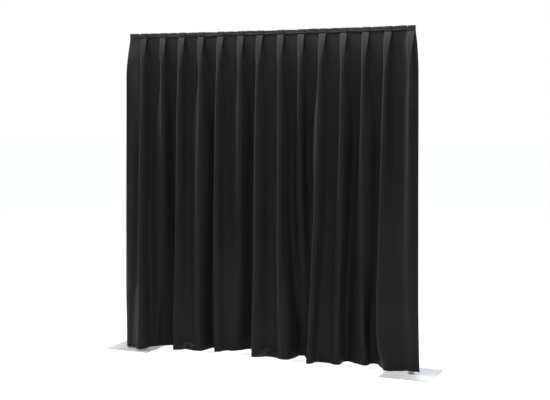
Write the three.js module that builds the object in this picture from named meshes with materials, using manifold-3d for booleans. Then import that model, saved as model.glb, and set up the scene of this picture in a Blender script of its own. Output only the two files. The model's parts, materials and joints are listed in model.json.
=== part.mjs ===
// Pipe and drape backdrop: two telescopic uprights on flat base plates, a telescopic
// crossbar hooked between their slotted heads, and one wide pleated drape hung from it.
// Millimetres. X runs along the drape from left to right, the drape's face looks to -Y,
// Z is up, and the origin is on the floor in the middle of the bay.

import * as THREE from 'three';
import { mergeVertices } from 'three/addons/utils/BufferGeometryUtils.js';
import Module from 'manifold-3d';

const wasm = await Module();
wasm.setup();

// ---------------------------------------------------------------- dimensions
const HALF_BAY = 1360;          // upright axis to the middle of the bay
const GAP = 0.3;                // clearance between pieces that touch

const PLATE = 450;              // base plate side
const PLATE_T = 5;
const PLATE_CORNER = 6;
const PLATE_HOLE_R = 6;         // holes near the middle of each side
const PLATE_HOLE_IN = 29;       // hole centre to plate edge

const SPIGOT_R = 22.9;
const SPIGOT_WALL = 3;
const SPIGOT_TOP = 260;
const SPIGOT_END = 15;          // thickness of its closed lower end
const BOLT_R = 5;
const BOLT_HEAD_R = 9.5;

const OUTER_R = 25.4;           // outer upright tube, 50.8 mm across
const OUTER_WALL = 2;
const OUTER_BOTTOM = 5.5;
const OUTER_TOP = 1670;
const INNER_R = 21.5;           // inner upright tube, 43 mm across
const INNER_WALL = 2;
const INNER_BOTTOM = 1500;
const INNER_TOP = 2925;

const GUIDE_LIP = 3;            // flange of the guide bush on top of the outer tube
const GUIDE_LEN = 50;
const GLIDE_LEN = 30;

const COLLAR_R = 31.5;          // clamp collar
const COLLAR_Z0 = 1618;
const COLLAR_Z1 = 1664;
const BOSS_R = 11;
const BOSS_END = 47;
const SCREW_Z = 1641;
const SCREW_R = 4;
const KNOB_R = 22;
const KNOB_Y0 = 50;
const KNOB_T = 20;

const HEAD_R = 25;              // slotted head on the inner tube
const HEAD_BORE = INNER_R + GAP;
const HEAD_Z0 = 2885;
const HEAD_TOP = 2990;
const SLOT_W = 6;
const SLOT_BOTTOM = 2953.7;
const PIN_R = 2.5;
const HEAD_PIN_Z = 2902;

const BAR_Z = 2966;             // crossbar axis
const BAR_END = HALF_BAY - 28.5;
const BAR_R = 19.05;            // outer crossbar tube, 38.1 mm across
const BAR_WALL = 1.5;
const BAR_MOUTH = 368;          // where the outer tube ends and the inner one comes out
const BAR_IN_R = 15.9;          // inner crossbar tube, 31.8 mm across
const BAR_IN_START = -300;

const HOOK_T = 4;
const HOOK_H = 24;
const HOOK_TANG = 18;           // height of the tang inside the plug
const HOOK_TANG_LEN = 56;
const TONGUE_DROP = 24;         // how far the tongue hangs inside the head
const PLUG_LEN = 60;
const BAR_PIN_IN = 26;          // cross pin to the end of the bar

const DRAPE_TOP = 2988;
const DRAPE_T = 2;
const DRAPE_HEM = 20;
const DRAPE_FRONT = -28;        // the drape's face at the bar
const DRAPE_LEFT = -1422;
const DRAPE_RIGHT = 1395;
const SLEEVE_R = 21.6;
const SLEEVE_BORE = 19.6;
const SLEEVE_HALF = 1322;

// plan of the drape's hem, left to right, front is negative
const HEM = [
  [-1440, -75], [-1400, -135], [-1345, -172], [-1290, -192], [-1240, -204], [-1200, -196],
  [-1180, -165], [-1172, -110], [-1158, -55], [-1138, -15], [-1118, 25], [-1104, 70],
  [-1078, 100], [-1045, 95], [-1020, 60], [-990, 0], [-960, -60], [-925, -95], [-885, -80],
  [-820, -62], [-760, -50], [-710, -56], [-685, -35], [-678, 20], [-672, 75], [-650, 120],
  [-620, 128], [-590, 95], [-565, 35], [-535, -12], [-490, -20], [-450, 5], [-415, 48],
  [-375, 90], [-345, 115], [-325, 150], [-300, 195], [-270, 218], [-235, 190], [-200, 100],
  [-165, -10], [-128, -68], [-60, -38], [0, -10], [45, 0], [92, -14], [140, -40], [170, -54],
  [200, -30], [232, 0], [243, 45], [242, 95], [258, 135], [290, 150], [325, 120], [360, 40],
  [395, -60], [432, -114], [460, -82], [490, -30], [530, 5], [585, 8], [640, -12], [680, -42],
  [695, -10], [697, 50], [708, 100], [740, 116], [790, 98], [850, 68], [905, 38], [922, 50],
  [932, 88], [965, 104], [1003, 88], [1045, 32], [1095, -18], [1150, -72], [1190, -50],
  [1230, -34], [1265, -36], [1300, -45], [1345, -56], [1390, -52], [1434, -44],
];
// how much of the hem's folds the drape has at each height, and how far its left edge leans out there
const DRAPE_LEVELS = [
  [DRAPE_TOP, 0, 0], [2940, 0.02, 4], [2820, 0.14, 18], [2640, 0.3, 32], [2350, 0.46, 40],
  [1900, 0.64, 40], [1200, 0.85, 34], [500, 0.96, 24], [DRAPE_HEM, 1, 0],
];
const DRAPE_STEPS = 110;

// ---------------------------------------------------------------- geometry helpers
function solid(geometry) {
  const g = geometry.clone();
  for (const name of Object.keys(g.attributes)) if (name !== 'position') g.deleteAttribute(name);
  const m = mergeVertices(g, 1e-4);
  const p = m.attributes.position.array;
  const t = m.index.array;
  let volume = 0;
  const tri = [];
  for (let i = 0; i < t.length; i += 3) {
    const [a, b, c] = [t[i], t[i + 1], t[i + 2]];
    if (a === b || b === c || a === c) continue;
    tri.push(a, b, c);
    const [ax, ay, az] = [p[3 * a], p[3 * a + 1], p[3 * a + 2]];
    const [bx, by, bz] = [p[3 * b], p[3 * b + 1], p[3 * b + 2]];
    const [cx, cy, cz] = [p[3 * c], p[3 * c + 1], p[3 * c + 2]];
    volume += ax * (by * cz - bz * cy) + ay * (bz * cx - bx * cz) + az * (bx * cy - by * cx);
  }
  if (volume < 0) for (let i = 0; i < tri.length; i += 3) [tri[i + 1], tri[i + 2]] = [tri[i + 2], tri[i + 1]];
  return new wasm.Manifold(new wasm.Mesh({
    numProp: 3, vertProperties: new Float32Array(p), triVerts: new Uint32Array(tri),
  }));
}

function geometryOf(manifold) {
  const mesh = manifold.getMesh();
  const g = new THREE.BufferGeometry();
  g.setAttribute('position', new THREE.BufferAttribute(new Float32Array(mesh.vertProperties), 3));
  g.setIndex(new THREE.BufferAttribute(new Uint32Array(mesh.triVerts), 1));
  g.computeVertexNormals();
  return g;
}

const metal = (color, roughness = 0.4, metalness = 0.85) =>
  () => new THREE.MeshStandardMaterial({ color, roughness, metalness });
const plain = (color, roughness = 0.6) =>
  () => new THREE.MeshStandardMaterial({ color, roughness, metalness: 0 });
const LOOKS = {
  plate: () => new THREE.MeshStandardMaterial({ color: 0xd9dadc, roughness: 0.5, metalness: 0.1 }),
  alloy: metal(0xb9b8ae, 0.38),
  alloyInner: metal(0xc2c3c2, 0.32),
  steel: metal(0x8e9194, 0.35),
  zinc: metal(0xa3a6a8, 0.42),
  black: plain(0x1c1c1e, 0.55),
  grey: plain(0x5a5c60, 0.5),
  cloth: plain(0x232326, 0.95),
  tape: plain(0x17171a, 0.98),
};

function piece(name, shape, look) {
  const mesh = new THREE.Mesh(geometryOf(shape), LOOKS[look]());
  mesh.name = name;
  return mesh;
}

// a ring of one closed profile [radius, height], turned about Z
function turned(profile, segments = 32) {
  const points = profile.map(([r, z]) => new THREE.Vector2(r, z));
  points.push(points[0].clone());
  return solid(new THREE.LatheGeometry(points, segments).rotateX(Math.PI / 2));
}

const tube = (rIn, rOut, z0, z1, segments = 32) =>
  turned([[rIn, z0], [rOut, z0], [rOut, z1], [rIn, z1]], segments);

// a tube whose outer end edges are eased
const easedTube = (rIn, rOut, z0, z1, e = 0.5, segments = 32) =>
  turned([[rIn, z0], [rOut - e, z0], [rOut, z0 + e], [rOut, z1 - e], [rOut - e, z1], [rIn, z1]], segments);

function rodY(r, y0, y1, segments = 24) {
  return solid(new THREE.CylinderGeometry(r, r, y1 - y0, segments).translate(0, (y0 + y1) / 2, 0));
}

function block(x0, x1, y0, y1, z0, z1) {
  return solid(new THREE.BoxGeometry(x1 - x0, y1 - y0, z1 - z0)
    .translate((x0 + x1) / 2, (y0 + y1) / 2, (z0 + z1) / 2));
}

function roundedSquare(side, r) {
  const h = side / 2;
  const s = new THREE.Shape();
  s.moveTo(-h + r, -h);
  s.lineTo(h - r, -h);
  s.absarc(h - r, -h + r, r, -Math.PI / 2, 0, false);
  s.lineTo(h, h - r);
  s.absarc(h - r, h - r, r, 0, Math.PI / 2, false);
  s.lineTo(-h + r, h);
  s.absarc(-h + r, h - r, r, Math.PI / 2, Math.PI, false);
  s.lineTo(-h, -h + r);
  s.absarc(-h + r, -h + r, r, Math.PI, 1.5 * Math.PI, false);
  return s;
}

// ---------------------------------------------------------------- base
function basePlate() {
  const outline = roundedSquare(PLATE, PLATE_CORNER);
  const at = PLATE / 2 - PLATE_HOLE_IN;
  for (const [x, y] of [[at, 0], [-at, 0], [0, at], [0, -at]]) {
    const hole = new THREE.Path();
    hole.absarc(x, y, PLATE_HOLE_R, 0, 2 * Math.PI, true);
    outline.holes.push(hole);
  }
  const flat = solid(new THREE.ExtrudeGeometry(outline, { depth: PLATE_T, bevelEnabled: false, curveSegments: 5 }));
  const sink = turned([[0, -1], [BOLT_HEAD_R + 0.9, -1], [BOLT_HEAD_R + 0.9, 0.3],
    [BOLT_R + 0.4, PLATE_T - 0.3], [BOLT_R + 0.4, PLATE_T + 1], [0, PLATE_T + 1]], 20);
  return flat.subtract(sink);
}

function spigot() {
  const r = SPIGOT_R;
  const i = SPIGOT_R - SPIGOT_WALL;
  const z = PLATE_T + GAP;
  return turned([[BOLT_R + 0.4, z], [r, z], [r, SPIGOT_TOP - 6], [r - 2, SPIGOT_TOP],
    [i, SPIGOT_TOP], [i, z + SPIGOT_END], [BOLT_R + 0.4, z + SPIGOT_END]], 24);
}

function baseBolt() {
  return turned([[0, 0.5], [BOLT_HEAD_R, 0.5], [BOLT_R, PLATE_T - 0.4], [BOLT_R, 30],
    [BOLT_R - 0.8, 31], [0, 31]], 20)
    .subtract(solid(new THREE.CylinderGeometry(3, 3, 4, 6).rotateX(Math.PI / 2).translate(0, 0, 0.5)));
}

// ---------------------------------------------------------------- outer upright
function outerTube() {
  return easedTube(OUTER_R - OUTER_WALL, OUTER_R, OUTER_BOTTOM, OUTER_TOP)
    .subtract(rodY(5, 15, 35, 12).translate([0, 0, SCREW_Z]));
}

function guideBush() {
  const inner = INNER_R + GAP;
  const outer = OUTER_R - OUTER_WALL - GAP;
  const z = OUTER_TOP + GAP;
  return turned([[inner, OUTER_TOP - GUIDE_LEN], [outer, OUTER_TOP - GUIDE_LEN], [outer, z],
    [OUTER_R, z], [OUTER_R, z + GUIDE_LIP - 1], [OUTER_R - 1, z + GUIDE_LIP], [inner, z + GUIDE_LIP]], 28)
    .subtract(rodY(4.7, 15, 35, 12).translate([0, 0, SCREW_Z]));
}

function clampCollar() {
  const ring = turned([[OUTER_R + GAP, COLLAR_Z0], [COLLAR_R - 1.5, COLLAR_Z0], [COLLAR_R, COLLAR_Z0 + 1.5],
    [COLLAR_R, COLLAR_Z1 - 1.5], [COLLAR_R - 1.5, COLLAR_Z1], [OUTER_R + GAP, COLLAR_Z1]]);
  const boss = rodY(BOSS_R, 28, BOSS_END, 24).translate([0, 0, SCREW_Z]);
  const bore = rodY(SCREW_R + 0.4, 20, BOSS_END + 2, 16).translate([0, 0, SCREW_Z]);
  return ring.add(boss).subtract(bore);
}

function lockScrew() {
  return rodY(SCREW_R, INNER_R + GAP, KNOB_Y0 + 15, 16).translate([0, 0, SCREW_Z]);
}

function lockKnob() {
  const outline = new THREE.Shape();
  const n = 40;
  for (let k = 0; k < n; k++) {
    const a = (k / n) * 2 * Math.PI;
    const r = KNOB_R - 2.6 + 2.6 * Math.cos(5 * a);
    if (k === 0) outline.moveTo(r, 0);
    else outline.lineTo(r * Math.cos(a), r * Math.sin(a));
  }
  const grip = solid(new THREE.ExtrudeGeometry(outline, {
    depth: KNOB_T - 6, bevelEnabled: true, bevelThickness: 2, bevelSize: 2, bevelOffset: -2, bevelSegments: 1,
  }).rotateX(-Math.PI / 2).translate(0, KNOB_Y0 + 4, 0));
  const hub = rodY(9, KNOB_Y0, KNOB_Y0 + 6, 20);
  const bore = rodY(SCREW_R + GAP, KNOB_Y0 - 1, KNOB_Y0 + 15.4, 16);
  return grip.add(hub).subtract(bore).translate([0, 0, SCREW_Z]);
}

// ---------------------------------------------------------------- inner upright
function innerTube() {
  return tube(INNER_R - INNER_WALL, INNER_R, INNER_BOTTOM, INNER_TOP)
    .subtract(rodY(PIN_R + GAP, -40, 40, 12).translate([0, 0, HEAD_PIN_Z]));
}

const innerGlide = () => easedTube(INNER_R + GAP, OUTER_R - OUTER_WALL - GAP, INNER_BOTTOM, INNER_BOTTOM + GLIDE_LEN, 0.4, 24);

function slottedHead() {
  let head = turned([[HEAD_BORE, HEAD_Z0], [HEAD_R - 1, HEAD_Z0], [HEAD_R, HEAD_Z0 + 1],
    [HEAD_R, HEAD_TOP - 1], [HEAD_R - 1, HEAD_TOP], [HEAD_BORE, HEAD_TOP]]);
  head = head.subtract(block(-40, 40, -SLOT_W / 2, SLOT_W / 2, SLOT_BOTTOM, HEAD_TOP + 5));
  head = head.subtract(block(-SLOT_W / 2, SLOT_W / 2, -40, 40, SLOT_BOTTOM, HEAD_TOP + 5));
  return head.subtract(rodY(PIN_R + GAP, -40, 40, 12).translate([0, 0, HEAD_PIN_Z]));
}

const headPin = () => rodY(PIN_R, -HEAD_R + 0.6, HEAD_R - 0.6, 12).translate([0, 0, HEAD_PIN_Z]);

// ---------------------------------------------------------------- crossbar
// along +Z first, then turned so that it runs along +X at the bar's height
const alongX = (manifold) => solid(geometryOf(manifold).rotateY(Math.PI / 2)).translate([0, 0, BAR_Z]);

function barOuter() {
  return alongX(easedTube(BAR_R - BAR_WALL, BAR_R, -BAR_END, BAR_MOUTH))
    .subtract(rodY(PIN_R + GAP, -30, 30, 12).translate([-BAR_END + BAR_PIN_IN, 0, BAR_Z]));
}

function barInner() {
  return alongX(easedTube(BAR_IN_R - BAR_WALL, BAR_IN_R, BAR_IN_START, BAR_END))
    .subtract(rodY(PIN_R + GAP, -30, 30, 12).translate([BAR_END - BAR_PIN_IN, 0, BAR_Z]));
}

function barBush() {
  const inner = BAR_IN_R + GAP;
  const outer = BAR_R - BAR_WALL - GAP;
  const x = BAR_MOUTH + GAP;
  return alongX(turned([[inner, BAR_MOUTH - 40], [outer, BAR_MOUTH - 40], [outer, x],
    [BAR_R - 0.05, x], [BAR_R - 0.05, x + 2], [BAR_R - 1, x + 3], [inner, x + 3]], 24));
}

const barGlide = () => alongX(easedTube(BAR_IN_R + GAP, BAR_R - BAR_WALL - GAP, BAR_IN_START + 4, BAR_IN_START + 34, 0.3, 20));

// an end plug for the left end; radius is that of the tube's bore
function plug(bore) {
  const r = bore - 0.35;
  const body = turned([[0, 0], [r - 0.8, 0], [r, 0.8], [r, PLUG_LEN], [0, PLUG_LEN]], 24);
  return alongX(body.translate([0, 0, -BAR_END]))
    .subtract(block(-BAR_END - 1, -BAR_END + HOOK_TANG_LEN + 0.5, -HOOK_T / 2 - GAP, HOOK_T / 2 + GAP,
      BAR_Z - HOOK_TANG / 2 - GAP, BAR_Z + HOOK_TANG / 2 + GAP))
    .subtract(rodY(PIN_R + GAP, -30, 30, 12).translate([-BAR_END + BAR_PIN_IN, 0, BAR_Z]));
}

// the hook of the left end: tongue inside the head, bridge over its wall, tang in the plug
function hook() {
  const x0 = -HALF_BAY;
  const lo = BAR_Z - HOOK_H / 2;
  const hi = BAR_Z + HOOK_H / 2;
  const t = HOOK_TANG / 2;
  const s = new THREE.Shape();
  s.moveTo(x0 + 12, lo - TONGUE_DROP);
  s.lineTo(x0 + 17, lo - TONGUE_DROP);
  s.lineTo(x0 + 20.7, lo - TONGUE_DROP + 7);
  s.lineTo(x0 + 20.7, lo);
  s.lineTo(-BAR_END - 0.8, lo);
  s.lineTo(-BAR_END - 0.8, BAR_Z - t);
  s.lineTo(-BAR_END + HOOK_TANG_LEN, BAR_Z - t);
  s.lineTo(-BAR_END + HOOK_TANG_LEN, BAR_Z + t);
  s.lineTo(-BAR_END - 0.8, BAR_Z + t);
  s.lineTo(-BAR_END - 0.8, hi);
  s.lineTo(x0 + 15, hi);
  s.absarc(x0 + 15, hi - 5, 5, Math.PI / 2, Math.PI, false);
  s.lineTo(x0 + 10, lo - TONGUE_DROP + 3);
  const plate = solid(new THREE.ExtrudeGeometry(s, { depth: HOOK_T, bevelEnabled: false, curveSegments: 4 })
    .rotateX(Math.PI / 2).translate(0, HOOK_T / 2, 0));
  return plate.subtract(rodY(PIN_R + GAP, -30, 30, 12).translate([-BAR_END + BAR_PIN_IN, 0, BAR_Z]));
}

const barPin = (r) => rodY(PIN_R, -r + 0.5, r - 0.5, 12).translate([-BAR_END + BAR_PIN_IN, 0, BAR_Z]);

// the same piece at the right end
const mirrored = (manifold) => manifold.mirror([1, 0, 0]);

// ---------------------------------------------------------------- drape
function drapePanel() {
  const curve = new THREE.CatmullRomCurve3(HEM.map(([x, y]) => new THREE.Vector3(x, y, 0)), false, 'centripetal');
  curve.arcLengthDivisions = 800;
  const hem = curve.getSpacedPoints(DRAPE_STEPS);
  const n = hem.length;
  const rings = DRAPE_LEVELS.map(([z, share, lean]) => {
    const path = hem.map((p, k) => {
      const u = k / (n - 1);
      const top = [DRAPE_LEFT + (DRAPE_RIGHT - DRAPE_LEFT) * u, DRAPE_FRONT];
      return [top[0] + (p.x - top[0]) * share - lean * (1 - u) ** 3, top[1] + (p.y - top[1]) * share];
    });
    const ring = [];
    for (const side of [1, -1]) {
      for (let i = 0; i < n; i++) {
        const k = side === 1 ? i : n - 1 - i;
        const a = path[Math.max(k - 1, 0)];
        const b = path[Math.min(k + 1, n - 1)];
        const d = Math.hypot(b[0] - a[0], b[1] - a[1]);
        const nx = (b[1] - a[1]) / d;
        const ny = -(b[0] - a[0]) / d;
        ring.push([path[k][0] + side * nx * DRAPE_T / 2, path[k][1] + side * ny * DRAPE_T / 2, z]);
      }
    }
    return ring;
  });
  const m = 2 * n;
  const position = [];
  for (const ring of rings) for (const p of ring) position.push(...p);
  const index = [];
  // both faces are split along the same diagonal, so they stay one thickness apart
  for (let l = 0; l + 1 < rings.length; l++) {
    for (let i = 0; i < m; i++) {
      const j = (i + 1) % m;
      const [a, b, c, d] = [l * m + i, l * m + j, (l + 1) * m + j, (l + 1) * m + i];
      if (i < n) index.push(a, b, c, a, c, d);
      else index.push(a, b, d, b, c, d);
    }
  }
  const last = (rings.length - 1) * m;
  for (let i = 0; i + 1 < n; i++) {
    const [a, b, c, d] = [i, i + 1, m - 2 - i, m - 1 - i];
    index.push(a, c, b, a, d, c);
    index.push(last + a, last + b, last + c, last + a, last + c, last + d);
  }
  const g = new THREE.BufferGeometry();
  g.setAttribute('position', new THREE.BufferAttribute(new Float32Array(position), 3));
  g.setIndex(index);
  return solid(g);
}

const headerSleeve = () => alongX(tube(SLEEVE_BORE, SLEEVE_R, -SLEEVE_HALF, SLEEVE_HALF, 28));

// closing tape along the back of the sleeve
const closureTape = () => block(-SLEEVE_HALF + 10, SLEEVE_HALF - 10, SLEEVE_R + 0.4, SLEEVE_R + 1.8, BAR_Z - 19, BAR_Z + 6);

// ---------------------------------------------------------------- assembly
const backdrop = new THREE.Group();

for (const [side, sign] of [['left', -1], ['right', 1]]) {
  const upright = new THREE.Group();
  upright.position.set(sign * HALF_BAY, 0, 0);
  upright.add(
    piece(`${side}_base_plate`, basePlate(), 'plate'),
    piece(`${side}_base_spigot`, spigot(), 'steel'),
    piece(`${side}_base_bolt`, baseBolt(), 'steel'),
    piece(`${side}_outer_tube`, outerTube(), 'alloy'),
    piece(`${side}_guide_bush`, guideBush(), 'black'),
    piece(`${side}_clamp_collar`, clampCollar(), 'zinc'),
    piece(`${side}_lock_screw`, lockScrew(), 'steel'),
    piece(`${side}_lock_knob`, lockKnob(), 'black'),
    piece(`${side}_inner_tube`, innerTube(), 'alloyInner'),
    piece(`${side}_inner_glide`, innerGlide(), 'grey'),
    piece(`${side}_slotted_head`, slottedHead(), 'zinc'),
    piece(`${side}_head_pin`, headPin(), 'steel'),
  );
  backdrop.add(upright);
}

backdrop.add(
  piece('crossbar_outer_tube', barOuter(), 'alloy'),
  piece('crossbar_guide_bush', barBush(), 'black'),
  piece('crossbar_inner_tube', barInner(), 'alloyInner'),
  piece('crossbar_inner_glide', barGlide(), 'grey'),
  piece('left_end_plug', plug(BAR_R - BAR_WALL), 'black'),
  piece('left_hook', hook(), 'steel'),
  piece('left_hook_pin', barPin(BAR_R), 'steel'),
  piece('right_end_plug', mirrored(plug(BAR_IN_R - BAR_WALL)), 'black'),
  piece('right_hook', mirrored(hook()), 'steel'),
  piece('right_hook_pin', mirrored(barPin(BAR_IN_R)), 'steel'),
  piece('drape_panel', drapePanel(), 'cloth'),
  piece('drape_header_sleeve', headerSleeve(), 'cloth'),
  piece('drape_closure_tape', closureTape(), 'tape'),
);

export default backdrop;
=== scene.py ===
import json
import math

import bmesh
import bpy
import numpy as np
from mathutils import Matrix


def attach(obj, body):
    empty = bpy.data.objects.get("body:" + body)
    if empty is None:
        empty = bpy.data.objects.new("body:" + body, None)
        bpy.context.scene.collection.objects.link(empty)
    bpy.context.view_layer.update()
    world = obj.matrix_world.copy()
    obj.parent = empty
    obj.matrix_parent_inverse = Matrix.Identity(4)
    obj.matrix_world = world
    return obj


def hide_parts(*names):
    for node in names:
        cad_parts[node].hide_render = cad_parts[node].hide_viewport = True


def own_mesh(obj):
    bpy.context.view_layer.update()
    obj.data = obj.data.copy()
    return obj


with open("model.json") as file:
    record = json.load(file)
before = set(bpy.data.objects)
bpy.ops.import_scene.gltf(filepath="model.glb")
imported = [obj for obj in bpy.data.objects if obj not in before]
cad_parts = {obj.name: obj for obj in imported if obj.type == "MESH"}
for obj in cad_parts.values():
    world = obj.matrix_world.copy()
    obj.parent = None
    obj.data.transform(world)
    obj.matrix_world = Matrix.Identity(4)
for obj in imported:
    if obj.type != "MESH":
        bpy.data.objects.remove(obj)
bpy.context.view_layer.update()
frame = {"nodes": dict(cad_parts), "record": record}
NODES = frame["nodes"]
scene = bpy.context.scene

# ------------------------------------------------------------------ camera
cam_data = bpy.data.cameras.new("camera")
cam_data.sensor_fit = "HORIZONTAL"
cam_data.sensor_width = 36.0
cam_data.lens = 71.15
cam_data.shift_y = -0.10
cam_data.clip_start = 0.1
cam_data.clip_end = 200.0
camera = bpy.data.objects.new("camera", cam_data)
camera.location = (4.036, -8.996, 2.296)
camera.rotation_euler = (math.radians(90 - 1.97), 0.0, math.radians(23.77))
scene.collection.objects.link(camera)
scene.camera = camera


# ------------------------------------------------------------------ material helpers
def new_material(name):
    m = bpy.data.materials.new(name)
    m.use_nodes = True
    nodes, links = m.node_tree.nodes, m.node_tree.links
    return m, nodes, links, nodes["Principled BSDF"]


def add(nodes, kind, x=0, y=0, **values):
    n = nodes.new(kind)
    n.location = (x, y)
    for key, value in values.items():
        setattr(n, key, value)
    return n


def ramp(nodes, stops, x=0, y=0):
    r = add(nodes, "ShaderNodeValToRGB", x, y)
    els = r.color_ramp.elements
    while len(els) > 1:
        els.remove(els[-1])
    els[0].position, els[0].color = stops[0][0], stops[0][1]
    for pos, col in stops[1:]:
        e = els.new(pos)
        e.color = col
    return r


def grey(v, a=1.0):
    return (v, v, v, a)


# ------------------------------------------------------------------ look of cloth and light
CLOTH_ROUGH, CLOTH_SPEC, CLOTH_SHEEN = 0.55, 0.10, 0.02
CLOTH_DARK, CLOTH_LIGHT = (0.0137, 0.0142, 0.0163, 1), (0.0190, 0.0197, 0.0227, 1)
WORLD = 0.10
LIGHTS = [
    ("left", (-14.0, -2.3, 2.6), (0.0, -0.1, 1.6), (1.4, 5.0), 290, (0.94, 0.98, 1.0)),
    ("left_beam", (-14.0, -2.5, 2.3), (0.0, -0.1, 1.85), (1.8, 3.2), 3.2, (0.90, 0.96, 1.0), 24),
    ("rear", (0.4, 3.6, 3.4), (0.3, 0.3, 0.2), (4.6, 1.6), 210, (0.97, 0.98, 1.0)),
    ("sun_floor", (0.0, 0.03, -1.0), 2.05, 36, (0.94, 0.97, 1.0)),
]
# a row of ceiling lamps along the drape, each leaning a little to the right
LIGHTS += [("ceiling_%d" % i, (-3.4 + 0.62 * i, -0.46, 4.1), (-2.05 + 0.62 * i, -0.26, 2.4), (0.62, 0.5),
            17 + 1.7 * i, (1.0, 0.90, 0.78)) for i in range(9)]


# ------------------------------------------------------------------ the drape's folds
# s is the length along the cloth from its left edge; folds are counted 1 to 14, and the front is -Y
BAR_Z, BAND, HEM_Z = 2.966, 2.953, 0.020
PLEATS = 14
TURN = 0.0026                     # half the cloth in the turn of a flat fold
FACE = 0.065                      # width of a pleat's face
PITCH = 0.2012                    # from pleat to pleat at the top
CLOTH = PITCH + 2 * FACE          # cloth used by one pleat
LEFT_END, RIGHT_END = 0.216, 0.115
HEIGHTS = np.array([2.95, 2.80, 2.60, 2.20, 1.70, 1.20, 0.70, 0.35, 0.022])
CREST_X = np.array([
    [-1.424, -1.442, -1.451, -1.452, -1.454, -1.455, -1.454, -1.450, -1.432],
    [-1.270, -1.273, -1.278, -1.276, -1.273, -1.266, -1.257, -1.242, -1.240],
    [-1.064, -1.059, -1.058, -1.062, -1.072, -1.082, -1.096, -1.112, -1.139],
    [-0.862, -0.863, -0.871, -0.884, -0.892, -0.899, -0.910, -0.922, -0.925],
    [-0.662, -0.659, -0.655, -0.657, -0.673, -0.688, -0.700, -0.708, -0.694],
    [-0.459, -0.462, -0.472, -0.488, -0.503, -0.515, -0.524, -0.529, -0.529],
    [-0.255, -0.252, -0.250, -0.259, -0.285, -0.306, -0.311, -0.328, -0.370],
    [-0.061, -0.065, -0.073, -0.082, -0.088, -0.096, -0.108, -0.119, -0.126],
    [0.144, 0.145, 0.144, 0.143, 0.139, 0.137, 0.139, 0.143, 0.167],
    [0.342, 0.343, 0.338, 0.326, 0.314, 0.310, 0.314, 0.308, 0.280],
    [0.546, 0.540, 0.531, 0.519, 0.508, 0.492, 0.471, 0.452, 0.434],
    [0.744, 0.743, 0.739, 0.733, 0.723, 0.713, 0.697, 0.685, 0.683],
    [0.948, 0.943, 0.935, 0.923, 0.911, 0.901, 0.894, 0.900, 0.918],
    [1.151, 1.143, 1.134, 1.120, 1.104, 1.092, 1.078, 1.074, 1.156],
    [1.355, 1.352, 1.353, 1.355, 1.354, 1.352, 1.356, 1.369, 1.380],
    [1.395, 1.415, 1.426, 1.428, 1.428, 1.430, 1.434, 1.439, 1.446],
])
HEM_Y = np.array([-.075, -.204, -.017, -.095, -.054, -.018, .09, -.067, -.054, .14, -.113, -.044, .031, -.075, -.05, -.044])
# at the hem: cloth between the folds, then for each fold its own direction and the slope and length of its flanks
HEM_L = np.array([.250, .232, .390, .243, .376, 0.209, .500, .323, .252, .315, .320, .384, 0.352, .238, .062])
HEM_TURN = np.radians([-34, 0, 65, 0, 0, 0, 38, 0, 0, 20, 0, 0, 0, 0, 0, 8])
HEM_AR = np.radians([0, 50, 30, 18, 72, 48, 25, 25, 72, 0, 46, 66, 48, 18, 8])
HEM_AL = np.radians([14, 0, 80, 8, 66, 0, 80, 27, 0, 72, 30, 28, 58, 18, 0])
# the same halfway down, where no fold has its own direction
MID_AR = np.radians([0, 80, 54, 82, 56, 74, 56, 66, 66, 62, 56, 46, 42, 72, 22])
MID_AL = np.radians([72, 40, 58, 33, 84, 48, 84, 68, 80, 38, 72, 74, 78, 42, 0])
MID_WR = np.array([.05, .09, .10, .09, .145, .10, .13, .11, .10, 0.075, .11, 0.12, 0.13, .09, .03])
MID_WL = np.array([.06, .17, .11, .17, .11, .13, .11, .10, .11, 0.17, .10, .11, .10, .14, .02])
HEM_WR = np.array([.05, .13, .12, .10, .17, 0.08, .10, .12, .16, .05, .09, .13, 0.12, 0.14, .03])
HEM_WL = np.array([.10, .06, .16, .05, .13, .05, .25, .10, .05, .22, .08, .17, 0.11, 0.06, .02])


def smooth(u):
    u = np.clip(u, 0, 1)
    return u * u * (3 - 2 * u)


def curve_through(x, y, at):
    """A smooth curve through (x, y) with no overshoot, x descending, read at each height."""
    x, y = x[::-1], y[..., ::-1]
    h = np.diff(x)
    d = np.diff(y) / h
    m = np.zeros_like(y)
    same = d[..., 1:] * d[..., :-1] > 0
    w1, w2 = 2 * h[1:] + h[:-1], h[1:] + 2 * h[:-1]
    with np.errstate(divide='ignore', invalid='ignore'):
        mid = (w1 + w2) / (w1 / d[..., :-1] + w2 / d[..., 1:])
    m[..., 1:-1] = np.where(same, mid, 0)
    m[..., 0], m[..., -1] = d[..., 0], d[..., -1]
    at = np.clip(at, x[0], x[-1])
    i = np.clip(np.searchsorted(x, at, side='right') - 1, 0, len(h) - 1)
    u = (at - x[i]) / h[i]
    return ((1 + 2 * u) * (1 - u) ** 2 * y[..., i] + u * (1 - u) ** 2 * h[i] * m[..., i]
            + u * u * (3 - 2 * u) * y[..., i + 1] + u * u * (u - 1) * h[i] * m[..., i + 1])


def rows():
    z = np.concatenate([
        BAND + np.array([.013, .010, .0075, .005, .003, .0015, 0]),
        BAND - np.array([.0015, .003, .005, .0075, .011, .015, .021, .028, .036, .045]),
        np.linspace(2.895, 2.60, 26), np.linspace(2.585, 2.2, 16), np.linspace(2.16, .22, 42),
        np.linspace(.19, .10, 5), np.linspace(.088, HEM_Z, 12)])
    return z


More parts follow.
